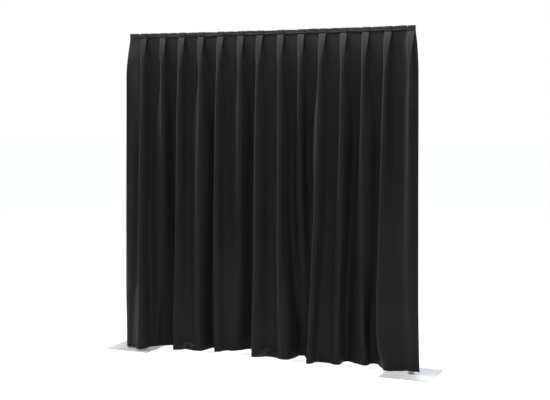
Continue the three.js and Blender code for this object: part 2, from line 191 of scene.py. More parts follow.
def columns(k, length, n=46):
    """Where the vertices of one interval lie, as a share of its cloth: closer together where it bends."""
    u = np.linspace(0, 1, 2001)
    dens = np.ones_like(u)
    bends = [FACE / 2 / length, FACE / length] if k > 0 else []
    bends += [1 - FACE / 2 / length, 1 - FACE / length] if k < PLEATS else []
    for b in bends:
        dens += 5.5 * np.exp(-((u - b) / 0.016) ** 2)
    c = np.concatenate([[0], np.cumsum((dens[1:] + dens[:-1]) / 2)])
    c /= c[-1]
    n = n if 0 < k < PLEATS else (34 if k == 0 else 22)
    return np.interp(np.linspace(0, 1, n + 1), c, u)


def share_of_hem(z):
    t = np.clip((2.76 - z) / 2.74, 0, 1)
    return t * t / (t + .16) * 1.16


def even_out(v, reach=2.0):
    """Each row's values averaged with those of the rows just above and below."""
    n = len(v)
    w = int(3 * reach)
    pad = np.concatenate([2 * v[:1] - v[w:0:-1], v, 2 * v[-1:] - v[-2:-w - 2:-1]])
    g = np.exp(-np.arange(-w, w + 1) ** 2 / (2 * reach * reach))
    g /= g.sum()
    return sum(g[i] * pad[i:i + n] for i in range(2 * w + 1))


def fold_plan():
    z = rows()
    K = PLEATS + 1
    l_top = np.array([LEFT_END] + [CLOTH] * (PLEATS - 1) + [RIGHT_END])
    cols = [columns(k, l_top[k]) for k in range(K)]
    crest_x = curve_through(HEIGHTS, CREST_X, z)               # fold by height
    fine = 700
    X = [np.zeros((len(z), len(c))) for c in cols]
    Y = [np.zeros((len(z), len(c))) for c in cols]
    x_now = None
    found = []
    for sweep in (0, 1):                                       # the second pass evens the rows out among themselves
        if sweep:
            found = even_out(np.array(found))
        for r, zr in enumerate(z):
            d = max(BAND - zr, 0)
            f = 1 - np.exp(-d / 0.25)
            f2 = smooth(d / 0.40)
            u = float(share_of_hem(zr))
            D = max(0.10 * f, 1e-4)
            a0 = 2 * np.arctan2(FACE, D)
            w0 = FACE / (1 - np.cos(a0))
            cy = (1 - u) * (-0.0324 - 0.056 * (1 - np.exp(-d / 0.17))) + u * HEM_Y
            # the two side edges hang close to the uprights
            g = smooth(d / 0.35)
            cy[0] = (1 - u) * (-0.0262 - 0.030 * g) + u * HEM_Y[0]
            cy[1] += .013 * g * (1 - u)
            cy[-1] = (1 - u) * (-0.0262 - 0.021 * g) + u * HEM_Y[-1]
            cx = crest_x[:, r]
            turn = HEM_TURN * u ** 1.5
            turn[0] = turn[-1] = 0
            edge_l = -np.radians(15 * smooth(d / .3) + 12 * smooth(d / 1.0)) * (1 - u) + HEM_TURN[0] * u
            edge_r = np.radians(14) * smooth(d / .6) * (1 - u) + HEM_TURN[-1] * u
            for k in (2, 6, 9):
                turn[k] = HEM_TURN[k] * smooth((u - .25) / .75)
            length = (1 - u) * l_top + u * HEM_L
            low = smooth((1.05 - zr) / 1.05)                     # the last deep fold swings open above the floor
            length[12] += .036 * low
            dx, dy = np.diff(cx), np.diff(cy)
            # the narrow strip past the last fold opens into one soft wave
            q = smooth((d - .10) / .45)
            deep = smooth((u - .48) / .42)                       # one pleat gives way to a single deep fold lower down
            length[-1] += (min(length[-1], 1.08 * math.hypot(dx[-1], dy[-1])) - length[-1]) * q
            length[0] += .012 * smooth(d / .4) * (1 - u)
            length[8] += (min(length[8], 1.13 * math.hypot(dx[8], dy[8])) - length[8]) * deep
            for k, slack in ((5, 1.065), (13, 1.05)):            # these two panels never quite straighten
                length[k] = max(length[k], slack * math.hypot(dx[k], dy[k]))
            length = np.maximum(length, 1.015 * np.hypot(dx, dy))
            v = smooth((d - .15) / .85)
            wake = smooth((d - .20) / .95)                       # the wide shallow flanks open lower down
            vl = np.where(MID_WL > .13, wake, v)
            AR0 = (1 - u) * (a0 + (MID_AR - a0) * v) + u * HEM_AR
            AL0 = (1 - u) * (a0 + (MID_AL - a0) * vl) + u * HEM_AL
            AL0[8] = a0 + (np.radians(76) - a0) * v * (1 - deep)
            AR0[12] += np.radians(22) * low
            AL0[12] -= np.radians(8) * low
            AR0[0] = edge_l                                      # at the outer edges there is no fold, only a direction
            AL0[-1] = -edge_r
            g = smooth(d / 0.55)
            AL0[0] = (1 - u) * (a0 * (1 - g) + np.radians(72) * g) + u * HEM_AL[0]
            AR0[-1] = a0 * (1 - g) + np.radians(22) * g
            WR = (1 - u) * (w0 + (MID_WR - w0) * v) + u * HEM_WR
            WL = (1 - u) * (w0 + (MID_WL - w0) * vl) + u * HEM_WL
            WR[12] -= .05 * low
            WL[12] += .125 * low
            # where each flank starts to turn from the fold and how softly it does
            mR = FACE / 2 + (.018 - FACE / 2) * f2 + .006 * smooth((d - .4) / .5)
            hR = TURN + (mR - .001 - TURN) * f2 ** 1.6
            mL = FACE / 2 + (.0095 - FACE / 2) * f2
            hL = TURN + .0055 * f2
            hV = TURN + .035 * f
            roll = np.radians(36) * smooth(d / .25) * (1 - u)      # the left edge rolls forward and in again
            t = np.linspace(0, 1, fine)[None, :] * length[:, None]
            back = length[:, None] - t
            end = np.broadcast_to(turn[:-1, None], t.shape) * (1 - smooth(t / length[:, None])) + turn[1:, None] * smooth(t / length[:, None])

            def flank(t, m, h, wid, hv):
                a, b = m - h, m + h
                c = m + wid
                return smooth((t - a) / (b - a)) - smooth((t - (c - hv)) / (2 * hv))

            def path(x):
                AR, AL, kr, kl = x
                fr = flank(t, mR, hR, (WR * kr)[:, None], hV)
                fl = flank(back, mL, hL, (WL * kl)[:, None], hV)
                fr[0] = 1 - smooth(t[0] / (.45 * length[0]))
                fl[-1] = 1 - smooth(back[-1] / (.7 * length[-1]))
                fr[8] += (smooth(t[8] / (.62 * kr[8] * length[8])) * (1 - smooth((t[8] - length[8] + .035) / .035)) - fr[8]) * deep
                fr[-1] += (np.sin(np.pi * t[-1] / length[-1]) ** 2 - fr[-1]) * q
                th = end + AR[:, None] * fr - AL[:, None] * fl
                th[0] += roll * np.exp(-((t[0] / length[0] - .50) / .18) ** 2)
                dt = length[:, None] / (fine - 1)
                cs, sn = np.cos(th), np.sin(th)
                px = np.concatenate([np.zeros((K, 1)), np.cumsum((cs[:, 1:] + cs[:, :-1]) / 2, 1)], 1) * dt
                py = np.concatenate([np.zeros((K, 1)), np.cumsum((sn[:, 1:] + sn[:, :-1]) / 2, 1)], 1) * dt
                return px, py

            def miss(x):
                px, py = path(x)
                return np.stack([px[:, -1] - dx, py[:, -1] - dy])

            x0 = np.stack([AR0, AL0, np.ones(K), np.ones(K)])
            weight = np.array([1.0, 1.0, .35, .35])[:, None] ** 2 * np.ones((4, K))
            weight[0, 0] = weight[1, -1] = .25 if d > 0 else .01
            weight[0, 0] += .6 * smooth(d / .1)
            weight[1, 0] -= .8 * smooth(d / .1)
            if sweep:
                x = found[r].copy()
            else:
                x = x0.copy() if x_now is None else x_now.copy()
            for it in range(10 if sweep else 0, 16 if sweep else 14):
                c = miss(x)
                J = np.zeros((2, 4, K))
                for j in range(4):
                    e = np.zeros((4, K))
                    e[j] = 1e-4
                    J[:, j] = (miss(x + e) - c) / 1e-4
                WJ = weight[None] * J
                M = np.einsum('ajk,bjk->kab', WJ, J) + np.eye(2)[None] * 1e-9
                start = x0 if it < 10 else x                       # towards the wished shape, then only onto the ends
                rhs = np.einsum('ajk,jk->ka', J, x - start) - c.T
                lam = np.linalg.solve(M, rhs[..., None])[..., 0]
                step = start + np.einsum('ajk,ka->jk', WJ, lam) - x
                step = np.clip(step, -.35, .35) * (1 if it < 3 or it > 9 else .6)
                x = x + step
                x[2:] = np.clip(x[2:], .3, 3)
                if np.abs(step).max() < 1e-6:
                    break
            x_now = x
            if not sweep:
                found.append(x.copy())
                continue
            c = miss(x)
            px, py = path(x)
            # spread what little is missed along the interval
            px = px - (t / length[:, None]) * c[0][:, None]
            py = py - (t / length[:, None]) * c[1][:, None]
            for k in range(K):
                X[k][r] = cx[k] + np.interp(cols[k] * length[k], t[k], px[k])
                Y[k][r] = cy[k] + np.interp(cols[k] * length[k], t[k], py[k])
    s0 = np.concatenate([[0], np.cumsum(l_top)])
    S = np.concatenate([s0[k] + cols[k][:-1] * l_top[k] for k in range(K)] + [[s0[-1]]])
    Xa = np.concatenate([X[k][:, :-1] for k in range(K)] + [X[-1][:, -1:]], 1)
    Ya = np.concatenate([Y[k][:, :-1] for k in range(K)] + [Y[-1][:, -1:]], 1)
    # in front of the uprights the cloth stays clear of the tubes and their clamps
    zone = np.maximum(smooth((Xa + 1.45) / .05) * smooth((-1.275 - Xa) / .05), smooth((Xa - 1.285) / .035))
    below = smooth((BAND - .004 - z) / .17)[:, None]
    limit = -0.0262 - 0.0105 * below
    soft = .004
    Yc = limit - soft * np.log1p(np.exp(np.clip((limit - Ya) / soft, -30, 30)))
    Ya = Ya + (Yc - Ya) * zone * below
    index = np.concatenate([np.full(len(c) - 1, k) for k, c in enumerate(cols)] + [[K - 1]])
    part = np.concatenate([c[:-1] for c in cols] + [[1.0]])
    return z, S, Xa, Ya, index, part


# ------------------------------------------------------------------ the drape as a closed sheet of cloth
CLOTH_T = 0.0009
SLEEVE_HALF = 1.322
LIP = 0.0040                       # how far the stitched band stands in front of the pleats
WRAP_HALF = 1.318                 # beyond this the top edge stands up in front of the slotted heads


def waves(seed, s, z, count, lengths, stretch, amount):
    """Uneven ripples: a sum of waves in cloth length s and height z, longest along z by stretch."""
    rng = np.random.default_rng(seed)
    out = np.zeros(np.broadcast(s, z).shape)
    for _ in range(count):
        lam = np.exp(rng.uniform(np.log(lengths[0]), np.log(lengths[1])))
        kx = 2 * np.pi / lam * (1 if rng.random() < .5 else -1)
        kz = 2 * np.pi / (lam * stretch) * rng.uniform(.3, 1.4)
        out += amount * (lam / lengths[1]) ** .9 * rng.uniform(.4, 1) * np.sin(kx * s + kz * z + rng.uniform(0, 6.283))
    return out


def normals_of(P):
    du = np.gradient(P, axis=1)
    dv = np.gradient(P, axis=0)
    n = np.cross(du, dv)
    return n / np.maximum(np.linalg.norm(n, axis=2, keepdims=True), 1e-12)


def build_drape():
    z, S, X, Y, index, part = fold_plan()
    n_rows, n_cols = X.shape
    z_low = z[:, None] * np.ones_like(X)
    # the hem hangs a little higher where the folds run deep and over the right-hand foot
    lift = 0.008 * smooth((Y[-1] - .05) / .14) + 0.009 * smooth((X[-1] - 1.27) / .07) + 0.002
    z_low += lift[None, :] * np.exp(-(z[:, None] - HEM_Z) / .16)
    P = np.stack([X, Y, z_low], 2)[::-1]                       # hem first
    heights = z[::-1]

    # header: over the bar between the heads, straight up in front of them
    top_x, r0 = X[0], -Y[0]
    rng = np.random.default_rng(5)
    panel = np.clip((part - FACE / CLOTH) / (1 - 2 * FACE / CLOTH), 0, 1)
    panel[index == 0] = np.clip(part[index == 0] * LEFT_END / (LEFT_END - FACE), 0, 1)
    bulge = rng.uniform(.25, 1, PLEATS + 1)
    skew = rng.uniform(.65, 1.5, PLEATS + 1)
    full = np.sin(np.pi * panel ** skew[index]) ** 2
    full[index == PLEATS] = 0
    puff = .0052 * bulge[index] * full
    # its top edge stands a little higher just right of each pleat
    sag = -.0045 + .0062 * (top_x / 1.4) ** 2 + .0042 * (1 - panel) * smooth(panel / .06) * rng.uniform(.3, 1, PLEATS + 1)[index]
    wrap = smooth((WRAP_HALF + .012 - np.abs(top_x)) / .02)
    header = []
    turns = np.radians([5, 10, 15, 20, 25, 30, 35, 39, 43, 48, 55, 65, 77, 90, 102, 114, 126])
    for phi in turns:
        f = smooth(phi / np.radians(60))
        tuck = 1 - .5 * smooth((phi - np.radians(85)) / np.radians(40))
        r = (r0 - .0262) * tuck + .0262 - .0022 * smooth((phi - np.radians(95)) / np.radians(30)) + puff * f * tuck
        # two small creases cross each puff of cloth
        crease = .0011 * full * np.sin(2 * np.pi * (2.3 * panel + 1.7 * phi + 3 * bulge[index])) * smooth(phi / .5)
        r = r + crease
        # the stiff band stands nearly flat and turns over the bar in a tight bend
        square = (abs(math.cos(phi)) ** 7 + abs(math.sin(phi)) ** 7) ** (-1 / 7) if phi < np.pi / 2 else 1
        r = r * square
        lip = LIP * (1 - smooth((phi - np.radians(38)) / np.radians(50)))
        over = np.stack([top_x, -r * np.cos(phi) - lip, BAR_Z + sag * f + r * np.sin(phi)], 1)
        up = np.stack([top_x, -r0 - LIP - .0004 * phi - .5 * puff * f,
                       np.full_like(top_x, BAR_Z + .0315 * (phi / np.radians(126)) ** .85)], 1)
        header.append(over * wrap[:, None] + up * (1 - wrap[:, None]))
    P[..., 1] -= LIP * smooth((heights - BAND) / .003)[:, None]   # the band lies over the tops of the pleats
    P = np.concatenate([P, np.array(header)], 0)
    heights = np.concatenate([heights, BAR_Z + .0432 * np.arange(1, len(turns) + 1) / len(turns)])
    H = heights[:, None]
    s = S[None, :]

    # uneven drops and ripples, none at the stitched header
    below = BAND - H
    fade = smooth(below / .30)
    N = normals_of(P)
    ripple = waves(3, s, H, 26, (.08, .40), 14.0, .0008) * fade
    ripple += waves(4, s, H, 30, (.018, .05), 9.0, .00009) * smooth(below / .05)
    pinch = waves(6, s, H, 20, (.007, .022), 5.0, .0005) * np.exp(-np.clip(below, 0, None) / .035) * smooth(below / .006)
    pinch *= np.where((part > .2) & (part < .8), 1.0, .25)[None, :]
    ripple += pinch
    # the band is stitched down along its lower edge
    ripple -= (.0016 * np.exp(-((H - BAND) / .0030) ** 2) - .0009 * np.exp(-((H - BAND - .008) / .004) ** 2)) * np.ones_like(s)
    # and pulls into small curved creases between the pleats
    rng = np.random.default_rng(21)
    for k, bend in enumerate("rflarafrlarfrra"):
        here = (index == k) & (panel > 0) & (panel < 1)
        p = np.where(here, panel, 0)
        line = {"r": p ** .7, "f": 1 - p ** 1.4, "l": .15 * p, "a": 1 - (2 * p - 1) ** 2}[bend]
        middle = BAND + rng.uniform(-.006, .006) + .022 * rng.uniform(.6, 1) * line
        strength = rng.uniform(.7, 1.3) * np.sin(np.pi * p) ** .6 * np.exp(-((p - rng.uniform(.25, .75)) / .45) ** 2) * here
        ripple += .0026 * strength * (np.exp(-((H - middle) / .0034) ** 2) - .6 * np.exp(-((H - middle + .0075) / .0040) ** 2))

    # the bottom hem: stiffer, kinked where it brushes the floor
    hem_front = P[0]
    kick = np.zeros_like(H * s)
    for x0, y0, w, amount, high, lean in (
            (-1.155, -.05, .026, .020, .040, .0), (-.810, -.055, .060, .085, .050, .25), (-.735, -.05, .026, .045, .045, .0),
            (-.397, .07, .026, .036, .050, -.2), (-.040, -.02, .045, .085, .050, .75), (.035, -.02, .022, .050, .060, -.4),
            (.559, .007, .035, .020, .045, .0),
            (.655, -.03, .018, .020, .050, -.3), (.815, .086, .030, .016, .050, .2), (.905, .035, .018, .018, .050, .0),
            (1.143, -.065, .024, .020, .045, .2), (-1.34, -.16, .040, .006, .050, .0), (.150, -.045, .030, .002, .055, -.2),
            (.434, -.11, .022, .004, .050, .0), (1.30, -.045, .040, .006, .050, .0)):
        c = int(np.argmin(np.hypot(hem_front[:, 0] - x0, hem_front[:, 1] - y0)))
        a = (s - S[c] - lean * (H - HEM_Z)) / w
        up = np.clip((high * 1.5 - (H - HEM_Z)) / (high * 1.5), 0, 1)
        kick += amount * np.exp(-a * a) * (smooth(up * 1.4) - .30 * smooth((up - .70) / .30))
    ripple += waves(8, s, H, 18, (.03, .10), 1.6, .0011) * smooth((.085 - (H - HEM_Z)) / .06)
    # stitched line of the hem
    ripple -= .0006 * np.exp(-((H - .072) / .004) ** 2)
    P = P + N * (ripple + kick)[..., None]
    P[..., 2] += .22 * kick                                    # cloth kicked forward hangs less far down
    P[..., 2] = np.maximum(P[..., 2], .0185)
    return P, S, heights, index, part


def keep_clear(P, heights):
    """In front of the uprights the cloth stays clear of tubes, heads and clamps."""
    x, y = P[..., 0], P[..., 1]
    zone = np.maximum(smooth((x + 1.435) / .03) * smooth((-1.285 - x) / .03), smooth((x - 1.30) / .025))
    below = smooth((BAND - .004 - heights) / .17)[:, None]
    limit = -.0262 - .0088 * below
    soft = .003
    lower = limit - soft * np.log1p(np.exp(np.clip((limit - y) / soft, -30, 30)))
    P[..., 1] = y + (np.minimum(y, lower) - y) * zone * np.where(heights < BAND, 1, 0)[:, None]
    return P


def sheet_mesh(name, P, thick, uv):
    """A closed thin shell round the grid P (rows, columns), with its own map for each face."""
    rows_, cols_ = P.shape[:2]
    N = normals_of(P)
    t = np.broadcast_to(thick, P.shape[:2])[..., None] / 2
    V = np.concatenate([(P + N * t).reshape(-1, 3), (P - N * t).reshape(-1, 3)])
    i = (np.arange(rows_ - 1)[:, None] * cols_ + np.arange(cols_ - 1)[None, :]).ravel()
    a, b, c, d = i, i + 1, i + cols_ + 1, i + cols_
    M = rows_ * cols_
    F = [np.stack([a, b, c, d], 1), np.stack([d, c, b, a], 1) + M]
    low = np.arange(cols_ - 1)
    F.append(np.stack([low + M, low + 1 + M, low + 1, low], 1))
    up = low + (rows_ - 1) * cols_
    F.append(np.stack([up, up + 1, up + 1 + M, up + M], 1))
    left = np.arange(rows_ - 1) * cols_
    F.append(np.stack([left, left + cols_, left + cols_ + M, left + M], 1))
    right = left + cols_ - 1
    F.append(np.stack([right + M, right + cols_ + M, right + cols_, right], 1))
    F = np.concatenate(F)
    me = bpy.data.meshes.new(name)
    me.vertices.add(len(V))
    me.vertices.foreach_set("co", V.astype(np.float32).ravel())
    me.loops.add(F.size)
    me.loops.foreach_set("vertex_index", F.astype(np.int32).ravel())
    me.polygons.add(len(F))
    me.polygons.foreach_set("loop_start", (np.arange(len(F)) * 4).astype(np.int32))
    me.polygons.foreach_set("use_smooth", np.ones(len(F), bool))
    me.update(calc_edges=True)
    cloth = np.concatenate([uv.reshape(-1, 2)] * 2)
    layer = me.uv_layers.new(name="cloth")
    layer.data.foreach_set("uv", cloth[F.ravel()].astype(np.float32).ravel())
    lo, hi = uv.reshape(-1, 2).min(0), uv.reshape(-1, 2).max(0)
    unit = (uv.reshape(-1, 2) - lo) / (hi - lo)
    first = unit * [1, .47] + [0, .01]
    second = unit * [1, .47] + [0, .51]
    bake = np.concatenate([first, second])[F.ravel()]
    flat = bake.reshape(-1, 4, 2)
    mixed = np.ptp(flat[..., 1], axis=1) > .3                  # rim faces, drawn as slivers
    flat[mixed] = flat[mixed][:, :1] + np.array([[0, 0], [.0004, 0], [.0004, .0004], [0, .0004]])[None]
    layer = me.uv_layers.new(name="OFBake")
    layer.data.foreach_set("uv", flat.reshape(-1).astype(np.float32))
    ob = bpy.data.objects.new(name, me)
    scene.collection.objects.link(ob)
    return ob, N


P, S, heights, index, part = build_drape()
P = keep_clear(P, heights)
hem_band = smooth((.0725 - heights) / .002)[:, None]
side = np.maximum(smooth((.031 - S) / .002), smooth((S - (S[-1] - .031)) / .002))[None, :]
thick = CLOTH_T + .0009 * np.maximum(hem_band, side * smooth((BAND - heights) / .1)[:, None])
uv = np.stack([np.broadcast_to(S[None, :], P.shape[:2]), np.broadcast_to(heights[:, None], P.shape[:2])], 2)
drape, DRAPE_N = sheet_mesh("pleated_drape", P, thick, uv)


# ------------------------------------------------------------------ sleeve of the header, round the bar
def mesh_object(name, V, F, smooth_faces=True):
    me = bpy.data.meshes.new(name)
    me.from_pydata([tuple(map(float, v)) for v in V], [], [tuple(map(int, f)) for f in F])
    me.polygons.foreach_set("use_smooth", np.full(len(me.polygons), smooth_faces))
    me.update(calc_edges=True)
    ob = bpy.data.objects.new(name, me)
    scene.collection.objects.link(ob)
    return ob


def build_sleeve():
    n_x, n_a = 200, 44
    x = np.linspace(-SLEEVE_HALF, SLEEVE_HALF, n_x)
    a = np.linspace(0, 2 * np.pi, n_a, endpoint=False)         # from the front, over the top
    s = x[:, None]
    wob = waves(21, s, a[None, :] * .02, 26, (.02, .16), .12, .0005)
    ease = smooth((SLEEVE_HALF - np.abs(s)) / .02)
    # drop-shaped: the front hangs down to the seam with the drape
    drop = np.exp(-((a - 2 * np.pi + .62) / .42) ** 2)[None, :]
    ro = .0212 + wob * ease + .0088 * drop * .75
    ys = -ro * np.cos(a)[None, :]
    zs = BAR_Z + ro * np.sin(a)[None, :]
    ys = np.maximum(ys, -.0250)
    zs = np.maximum(zs, BAR_Z - .0245)
    outer = np.stack([np.broadcast_to(s, ys.shape), ys, zs], 2)
    ri = .0199
    inner = np.stack([np.broadcast_to(s, ys.shape), np.broadcast_to(-ri * np.cos(a), ys.shape),
                      np.broadcast_to(BAR_Z + ri * np.sin(a), ys.shape)], 2)
    V = np.concatenate([outer.reshape(-1, 3), inner.reshape(-1, 3)])
    M = n_x * n_a
    F = []
    for i in range(n_x - 1):
        for j in range(n_a):
            k = (j + 1) % n_a
            p, q, r_, t_ = i * n_a + j, i * n_a + k, (i + 1) * n_a + k, (i + 1) * n_a + j
            F.append((p, t_, r_, q))
            F.append((p + M, q + M, r_ + M, t_ + M))
    last = (n_x - 1) * n_a
    for j in range(n_a):
        k = (j + 1) % n_a
        F.append((j, k, k + M, j + M))
        F.append((last + j, last + j + M, last + k + M, last + k))
    return mesh_object("header_sleeve_cloth", V, F)


def build_tape():
    # the two lapped strips of the closure tape, drawn as one strip along the back of the sleeve, curved with it
    n_x = 160
    x = np.linspace(-SLEEVE_HALF + .010, SLEEVE_HALF - .010, n_x)
    ang = np.linspace(np.radians(-52), np.radians(17), 12)
    wav = waves(31, x[:, None], 0 * x[:, None], 14, (.05, .3), 1.0, .0004)
    V, F = [], []
    r1 = .0235 + .0002 * np.cos(np.linspace(-np.pi, np.pi, 12))
    outer = np.stack([np.broadcast_to(x[:, None], (n_x, 12)), r1[None, :] * np.cos(ang)[None, :] + wav * .3,
                      BAR_Z + r1[None, :] * np.sin(ang)[None, :] + wav], 2)
    inner = np.stack([np.broadcast_to(x[:, None], (n_x, 12)), (r1 - .0011)[None, :] * np.cos(ang)[None, :] + wav * .3,
                      BAR_Z + (r1 - .0011)[None, :] * np.sin(ang)[None, :] + wav], 2)
    V = np.concatenate([outer.reshape(-1, 3), inner.reshape(-1, 3)])
    M = n_x * 12
    for i in range(n_x - 1):
        for j in range(11):
            p, q, r_, t_ = i * 12 + j, i * 12 + j + 1, (i + 1) * 12 + j + 1, (i + 1) * 12 + j
            F.append((p, t_, r_, q)[::-1])
            F.append((p + M, q + M, r_ + M, t_ + M)[::-1])
        a_, b_ = i * 12, (i + 1) * 12
        F.append((a_, b_, b_ + M, a_ + M))
        F.append((a_ + 11, a_ + 11 + M, b_ + 11 + M, b_ + 11))
    last = (n_x - 1) * 12
    for j in range(11):
        F.append((j, j + M, j + 1 + M, j + 1)[::-1])
        F.append((last + j, last + j + 1, last + j + 1 + M, last + j + M)[::-1])
    ob = mesh_object("hook_and_loop_tape", V, F)
    bm = bmesh.new()
    bm.from_mesh(ob.data)
    bmesh.ops.recalc_face_normals(bm, faces=bm.faces)
    bm.to_mesh(ob.data)
    bm.free()
    return ob


def stitches(name, points, normals, pitch=.0042, length=.0030, radius=.00032):
    """A row of thread stitches along points, lying on the side that normals face."""
    seg = np.linalg.norm(np.diff(points, axis=0), axis=1)
    at = np.concatenate([[0], np.cumsum(seg)])
    V, F = [], []
    for start in np.arange(pitch, at[-1] - length, pitch):
        ends = []
        for q in (start, start + length / 2, start + length):
            p = np.array([np.interp(q, at, points[:, i]) for i in range(3)])
            n = np.array([np.interp(q, at, normals[:, i]) for i in range(3)])
            ends.append((p, n / np.linalg.norm(n)))
        t = ends[2][0] - ends[0][0]
        size = np.linalg.norm(t)
        if size < length * .5:
            continue
        t = t / size
        base = len(V)
        for (p, n), rr, out in zip(ends, (.55, 1, .55), (-.3, .9, -.3)):
            b = np.cross(t, n)
            c = p + n * radius * out
            for k in range(5):
                g = 2 * np.pi * k / 5
                V.append(c + radius * rr * (math.cos(g) * n + math.sin(g) * b))
        for ring in (0, 5):
            for k in range(5):
                m = (k + 1) % 5
                F.append((base + ring + k, base + ring + m, base + ring + 5 + m, base + ring + 5 + k))
        F.append(tuple(base + k for k in range(4, -1, -1)))
        F.append(tuple(base + 10 + k for k in range(5)))
    return mesh_object(name, V, F)


def seam_line(height, step=3):
    row = int(np.argmin(np.abs(heights - height)))
    surface = P[row] + DRAPE_N[row] * (np.broadcast_to(thick, P.shape[:2])[row][:, None] / 2)
    return surface, DRAPE_N[row]


sleeve = build_sleeve()
tape = build_tape()
line, line_n = seam_line(BAND)
visible = []
run = []
pieces_of_seam = []
for c in range(len(S)):
    k, f = index[c], part[c]
    # only the pleat faces and the panels between them show at the header
    if 0 < k < PLEATS:
        on_face = f * CLOTH < FACE / 2 - .004 or (1 - f) * CLOTH < FACE / 2 - .004
        on_panel = FACE + .038 < f * CLOTH < CLOTH - FACE - .038
    elif k == 0:
        on_face = (1 - f) * LEFT_END < FACE / 2 - .004
        on_panel = .006 < f * LEFT_END < LEFT_END - FACE - .038
    else:
        on_face = f * RIGHT_END < FACE / 2 - .004
        on_panel = f * RIGHT_END > FACE + .008
    kind = 1 if on_face else 2 if on_panel else 0
    if run and kind != run[-1][1]:
        if run[-1][1] and len(run) > 3:
            pieces_of_seam.append([q[0] for q in run])
        run = []
    run.append((c, kind))
if run[-1][1] and len(run) > 3:
    pieces_of_seam.append([q[0] for q in run])
seams = [stitches("header_stitches_%02d" % i, line[cols], line_n[cols]) for i, cols in enumerate(pieces_of_seam)]
hem_line, hem_n = seam_line(.072)
hem_seam = stitches("hem_stitches", hem_line[2:-2], hem_n[2:-2], pitch=.0046, length=.0033)


def join(obs, name):
    bpy.ops.object.select_all(action="DESELECT")
    for o in obs:
        o.select_set(True)
    bpy.context.view_layer.objects.active = obs[0]
    bpy.ops.object.join()
    obs[0].name = name
    obs[0].data.name = name
    return obs[0]


header_seam = join(seams, "header_stitches")


# ------------------------------------------------------------------ materials
def cloth_material(name, dark, light, use_map=True):
    """Fine matt weave with a soft sheen."""
    m, nodes, links, bsdf = new_material(name)
    bsdf.inputs["Roughness"].default_value = CLOTH_ROUGH
    bsdf.inputs["Specular IOR Level"].default_value = CLOTH_SPEC
    bsdf.inputs["Sheen Weight"].default_value = CLOTH_SHEEN
    bsdf.inputs["Sheen Roughness"].default_value = 0.45
    bsdf.inputs["Sheen Tint"].default_value = (1.0, 0.96, 0.92, 1.0)
    coord = add(nodes, "ShaderNodeTexCoord", -1400, 0)
    if use_map:
        uvm = add(nodes, "ShaderNodeUVMap", -1400, -300)
        uvm.uv_map = "cloth"
        flat = uvm.outputs["UV"]
    else:
        flat = coord.outputs["Object"]
    # broad uneven tone and small flecks of the yarn
    tone = add(nodes, "ShaderNodeTexNoise", -1000, 200)
    tone.inputs["Scale"].default_value = 3.0
    tone.inputs["Detail"].default_value = 4.0
    links.new(flat, tone.inputs["Vector"])
    fleck = add(nodes, "ShaderNodeTexNoise", -1000, 0)
    fleck.inputs["Scale"].default_value = 420.0
    fleck.inputs["Detail"].default_value = 2.0
    links.new(flat, fleck.inputs["Vector"])
    mix = add(nodes, "ShaderNodeMix", -760, 100, data_type="FLOAT")
    mix.inputs[0].default_value = 0.55
    links.new(tone.outputs["Fac"], mix.inputs[2])
    links.new(fleck.outputs["Fac"], mix.inputs[3])
    col = ramp(nodes, [(0.34, dark), (0.66, light)], -560, 100)
    links.new(mix.outputs[0], col.inputs["Fac"])
    links.new(col.outputs["Color"], bsdf.inputs["Base Color"])
    # warp and weft
    warp = add(nodes, "ShaderNodeTexWave", -1000, -260, wave_type="BANDS", bands_direction="X", wave_profile="SIN")
    warp.inputs["Scale"].default_value = 190.0
    warp.inputs["Distortion"].default_value = 1.2
    warp.inputs["Detail Scale"].default_value = 8.0
    weft = add(nodes, "ShaderNodeTexWave", -1000, -520, wave_type="BANDS", bands_direction="Y", wave_profile="SIN")
    weft.inputs["Scale"].default_value = 170.0
    weft.inputs["Distortion"].default_value = 1.2
    weft.inputs["Detail Scale"].default_value = 8.0
    links.new(flat, warp.inputs["Vector"])
    links.new(flat, weft.inputs["Vector"])
    both = add(nodes, "ShaderNodeMath", -760, -380, operation="MULTIPLY")
    links.new(warp.outputs["Fac"], both.inputs[0])
    links.new(weft.outputs["Fac"], both.inputs[1])
    bump = add(nodes, "ShaderNodeBump", -520, -380)
    bump.inputs["Strength"].default_value = 0.22
    bump.inputs["Distance"].default_value = 0.00025
    links.new(both.outputs[0], bump.inputs["Height"])
    links.new(bump.outputs["Normal"], bsdf.inputs["Normal"])
    rough = add(nodes, "ShaderNodeMapRange", -520, -120)
    rough.inputs["To Min"].default_value = CLOTH_ROUGH - .05
    rough.inputs["To Max"].default_value = CLOTH_ROUGH + .05
    links.new(tone.outputs["Fac"], rough.inputs["Value"])
    links.new(rough.outputs["Result"], bsdf.inputs["Roughness"])
    return m


